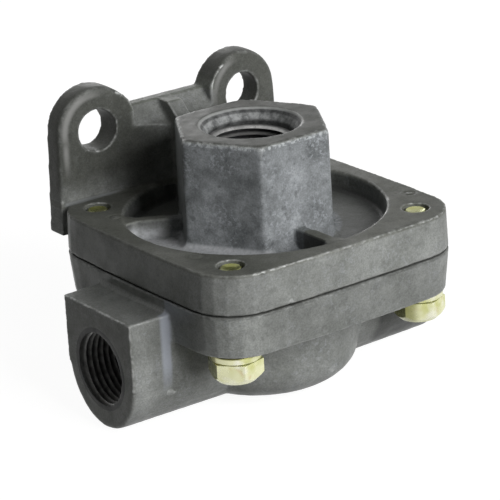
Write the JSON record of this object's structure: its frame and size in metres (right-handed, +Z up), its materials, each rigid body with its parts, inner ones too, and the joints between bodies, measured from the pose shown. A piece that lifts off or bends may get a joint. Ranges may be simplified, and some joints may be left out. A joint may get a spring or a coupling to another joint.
{
  "type": "quick exhaust valve",
  "caption": "Die-cast quick exhaust valve with a threaded supply port in a hexagonal boss, opposed delivery ports, a bottom exhaust, a two-eared mounting bracket and a sprung diaphragm inside.",
  "frame": {"origin": "middle of the bracket's flat rear face, level with the axes of its two bolt holes", "axes": "+X along the line of the two delivery ports, +Y out of the bracket's rear face towards what it is bolted to, +Z up along the valve's axis, out of the supply port"},
  "size_m": [0.0946, 0.0766, 0.0726],
  "materials": {
    "die_cast_metal": "dark grey as-cast metal, tumbled, with brighter worn edges",
    "black_rubber": "matte moulded rubber",
    "white_plastic": "moulded, slightly glossy",
    "spring_steel": "bright drawn wire",
    "yellow_zinc_steel": "yellow passivated zinc plating"
  },
  "bodies": {
    "housing": {"body": "die_cast_metal", "cover": "die_cast_metal", "cover_seal": "black_rubber", "diaphragm_spring": "spring_steel", "cap_screw_front_left": "yellow_zinc_steel", "cap_screw_front_right": "yellow_zinc_steel", "cap_screw_rear_left": "yellow_zinc_steel", "cap_screw_rear_right": "yellow_zinc_steel", "lock_washer_front_left": "yellow_zinc_steel", "lock_washer_front_right": "yellow_zinc_steel", "lock_washer_rear_left": "yellow_zinc_steel", "lock_washer_rear_right": "yellow_zinc_steel"},
    "diaphragm_assembly": {"diaphragm": "black_rubber", "spring_seat": "white_plastic"}
  },
  "joints": [
    {"name": "diaphragm_lift", "type": "slide", "parent": "housing", "child": "diaphragm_assembly", "axis": [0, 0, -1], "range_m": [0, 0.0025], "stiffness_N_per_m": 300, "springref_m": -0.008, "deforming": ["diaphragm_spring"]}
  ]
}
